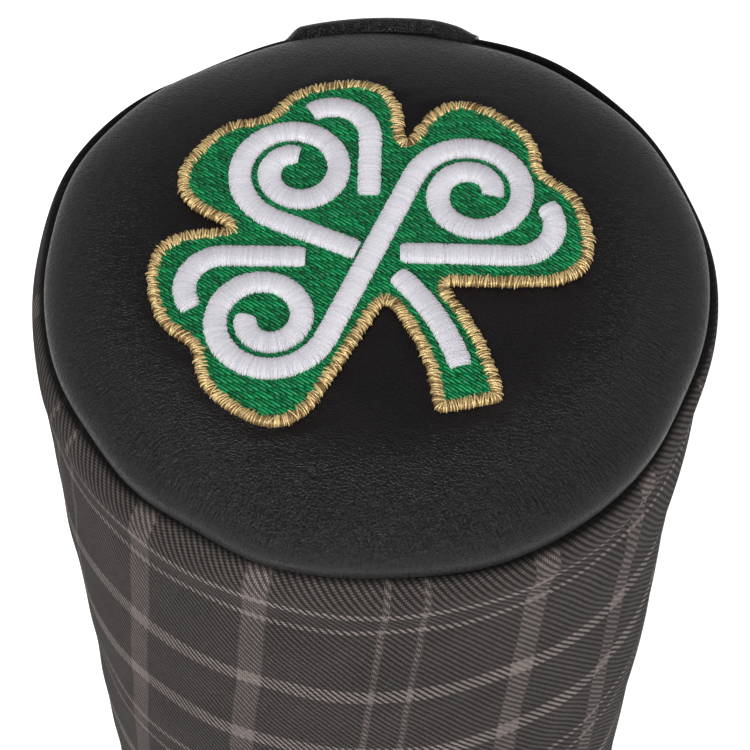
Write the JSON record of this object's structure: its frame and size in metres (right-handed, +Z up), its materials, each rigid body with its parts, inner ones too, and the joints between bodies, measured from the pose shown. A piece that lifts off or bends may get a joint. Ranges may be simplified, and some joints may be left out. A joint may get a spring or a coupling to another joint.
{
  "type": "driver head cover",
  "caption": "Padded barrel-style cover for a golf driver head: domed leather crown with raised clover embroidery, plaid barrel, rear leather panel, fleece lining and elastic neck.",
  "frame": {"origin": "centre of the open end's rim, on the surface it stands on", "axes": "+Z up the barrel to the crown, -Y towards the front, +Y towards the rear leather panel"},
  "size_m": [0.128, 0.1285, 0.28],
  "materials": {
    "black_leather": "smooth, lightly grained, semi-gloss",
    "plaid_twill": "charcoal and black twill with taupe stripes, matt",
    "green_thread": "fill embroidery, silky",
    "gold_thread": "metallic satin embroidery",
    "white_thread": "raised satin embroidery",
    "stabiliser": "non-woven, matt",
    "foam": "soft polyurethane foam, matt",
    "fleece": "short-pile fleece, matt",
    "tape": "woven tape, matt",
    "elastic": "woven elastic, matt",
    "sewing_thread": "bonded thread, satin",
    "label_cloth": "plain woven label, blank"
  },
  "bodies": {
    "root": {"crown_leather": "black_leather", "embroidery_stabiliser": "stabiliser", "crown_foam": "foam", "crown_backing": "fleece", "crown_seam_tape": "tape", "shamrock_fill": "green_thread", "shamrock_border": "gold_thread", "long_scroll_cord": "white_thread", "upper_scroll_cord": "white_thread", "hook_cord_right": "white_thread", "hook_cord_upper": "white_thread", "hook_cord_lower": "white_thread", "stem_cord": "white_thread", "barrel_plaid": "plaid_twill", "rear_panel": "black_leather", "rear_stitch_left": "sewing_thread", "rear_stitch_right": "sewing_thread", "barrel_foam": "foam", "barrel_lining": "fleece", "neck_elastic": "elastic", "elastic_casing": "tape", "hem_binding": "black_leather", "hem_stitch": "sewing_thread", "care_label": "label_cloth"}
  },
  "joints": []
}
